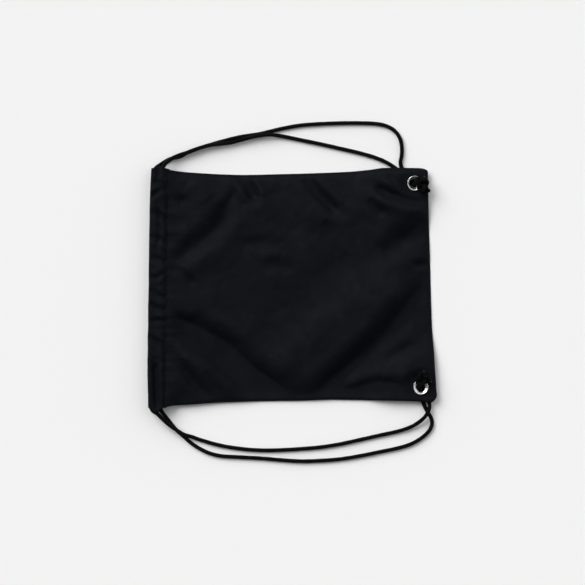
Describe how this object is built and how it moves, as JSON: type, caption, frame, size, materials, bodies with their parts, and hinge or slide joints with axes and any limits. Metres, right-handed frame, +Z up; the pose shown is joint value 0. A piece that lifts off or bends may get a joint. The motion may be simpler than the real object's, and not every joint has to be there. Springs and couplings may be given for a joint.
{
  "type": "drawstring backpack",
  "caption": "Flat black woven drawstring backpack with two long round cords that run through the mouth's hems and are knotted at metal eyelets in the bottom corners.",
  "frame": {"origin": "centre of the bag's footprint, on the surface that the bag lies on with its back panel down (cords not counted)", "axes": "+Y from the bottom seam to the mouth, +Z up out of the front panel, +X to the bag's right seen from the front"},
  "size_m": [0.4862, 0.4106, 0.0223],
  "materials": {
    "nylon_cloth": "matt woven black, slightly blue",
    "hem_cloth": "matt woven black, puckered along its stitches",
    "seam_binding": "matt black raw edges with overlock thread",
    "sewing_thread": "black thread, slight sheen",
    "nickel_plated_brass": "bright nickel plate",
    "braided_cord": "black round braid with a soft sheen"
  },
  "bodies": {
    "bag": {"back_panel": "nylon_cloth", "front_panel": "nylon_cloth", "left_side_seam": "seam_binding", "right_side_seam": "seam_binding", "bottom_seam": "seam_binding", "left_corner_patch": "nylon_cloth", "right_corner_patch": "nylon_cloth", "back_casing": "hem_cloth", "front_casing": "hem_cloth", "back_casing_stitching": "sewing_thread", "front_casing_stitching": "sewing_thread", "right_eyelet": "nickel_plated_brass", "right_eyelet_washer": "nickel_plated_brass", "left_eyelet": "nickel_plated_brass", "left_eyelet_washer": "nickel_plated_brass", "left_cord_knot": "braided_cord", "left_cord_end_a": "braided_cord", "left_cord_end_b": "braided_cord", "right_cord_knot": "braided_cord", "right_cord_end_a": "braided_cord", "right_cord_end_b": "braided_cord"},
    "left_cord": {"left_cord_channel_loop": "braided_cord", "left_cord_outer_strand": "braided_cord", "left_cord_inner_strand": "braided_cord"},
    "right_cord": {"right_cord_channel_loop": "braided_cord", "right_cord_outer_strand": "braided_cord", "right_cord_inner_strand": "braided_cord"}
  },
  "joints": [
    {"name": "left_cord_draw", "type": "slide", "parent": "bag", "child": "left_cord", "axis": [-1, 0, 0], "range_m": [0, 0.08], "deforming": ["front_casing", "back_casing", "left_cord_outer_strand", "left_cord_inner_strand"]},
    {"name": "right_cord_draw", "type": "slide", "parent": "bag", "child": "right_cord", "axis": [1, 0, 0], "range_m": [0, 0.08], "deforming": ["front_casing", "back_casing", "right_cord_outer_strand", "right_cord_inner_strand"]}
  ]
}
